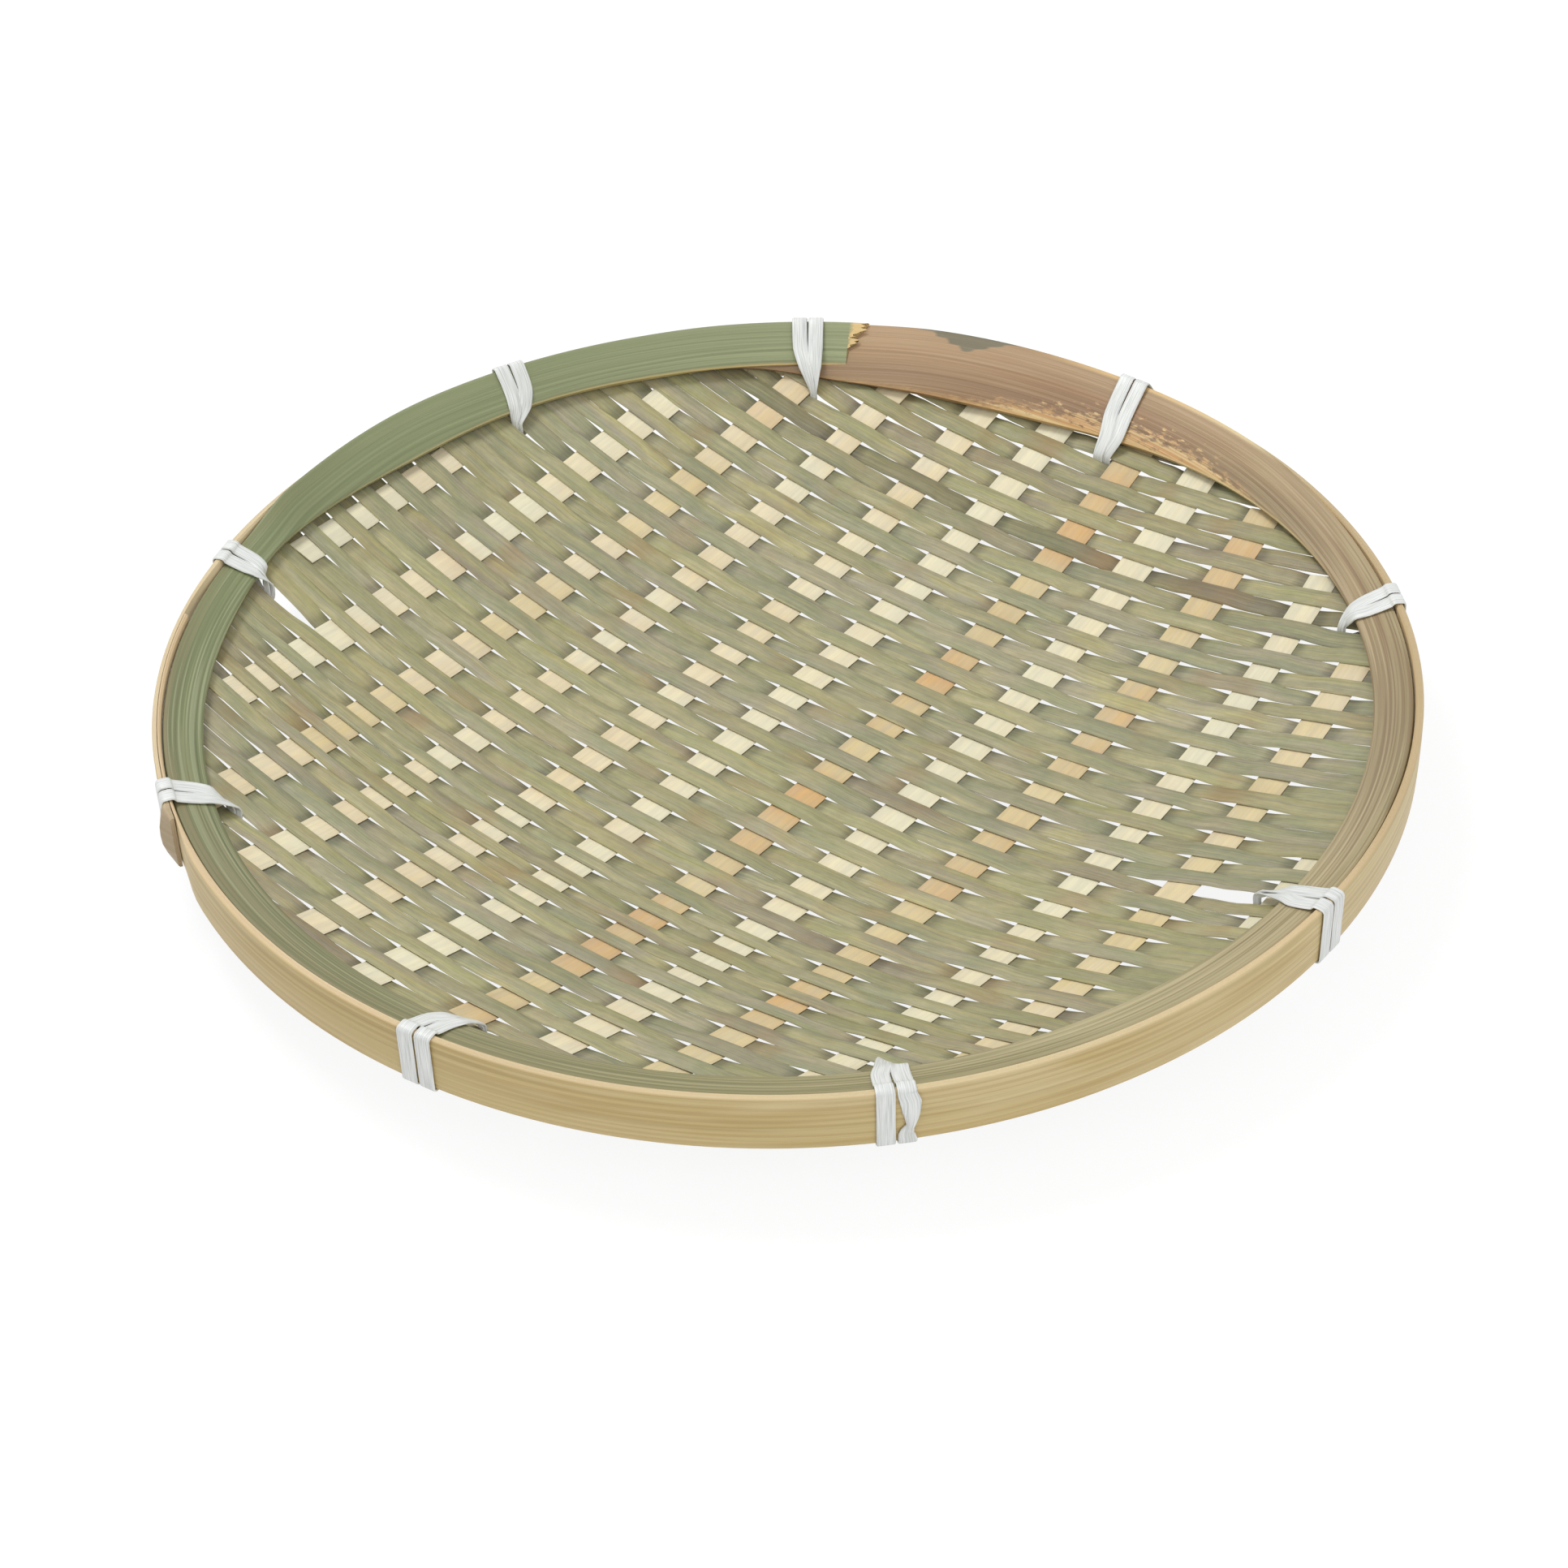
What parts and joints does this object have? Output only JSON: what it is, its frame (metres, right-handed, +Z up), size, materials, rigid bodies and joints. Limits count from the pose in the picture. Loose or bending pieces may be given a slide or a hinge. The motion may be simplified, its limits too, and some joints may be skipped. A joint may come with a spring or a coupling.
{
  "type": "woven bamboo tray",
  "caption": "Round shallow dished tray of plain-woven bamboo splints, clamped between an outer and an inner bent bamboo hoop by white plastic strap ties.",
  "frame": {"origin": "on the ground under the centre of the tray's bounding box, where the flat belly stands", "axes": "+Z up through the open side; +X to the right and +Y away in the reference view, -Y its nearest rim"},
  "size_m": [0.2604, 0.261, 0.0277],
  "materials": {
    "outer_hoop": "satin",
    "inner_hoop": "satin",
    "warp": "matt",
    "weft": "satin",
    "strap": "satin"
  },
  "bodies": {
    "root": {"outer_hoop": "outer_hoop", "inner_hoop": "inner_hoop", "warp_01": "warp", "warp_02": "warp", "warp_03": "warp", "warp_04": "warp", "warp_05": "warp", "warp_06": "warp", "warp_07": "warp", "warp_08": "warp", "warp_09": "warp", "warp_10": "warp", "warp_11": "warp", "warp_12": "warp", "weft_pair_01": "weft", "weft_pair_02": "weft", "weft_pair_03": "weft", "weft_pair_04": "weft", "weft_pair_05": "weft", "weft_pair_06": "weft", "weft_pair_07": "weft", "weft_pair_08": "weft", "weft_pair_09": "weft", "weft_pair_10": "weft", "weft_pair_11": "weft", "weft_pair_12": "weft", "weft_pair_13": "weft", "weft_pair_14": "weft", "weft_pair_15": "weft", "weft_pair_16": "weft", "weft_pair_17": "weft", "weft_pair_18": "weft", "weft_pair_19": "weft", "weft_pair_20": "weft", "weft_pair_21": "weft", "weft_pair_22": "weft", "weft_pair_23": "weft", "weft_pair_24": "weft", "weft_pair_25": "weft", "weft_pair_26": "weft", "weft_pair_27": "weft", "weft_pair_28": "weft", "tie_01": "strap", "tie_02": "strap", "tie_03": "strap", "tie_04": "strap", "tie_05": "strap", "tie_06": "strap", "tie_07": "strap", "tie_08": "strap", "tie_09": "strap"}
  },
  "joints": []
}
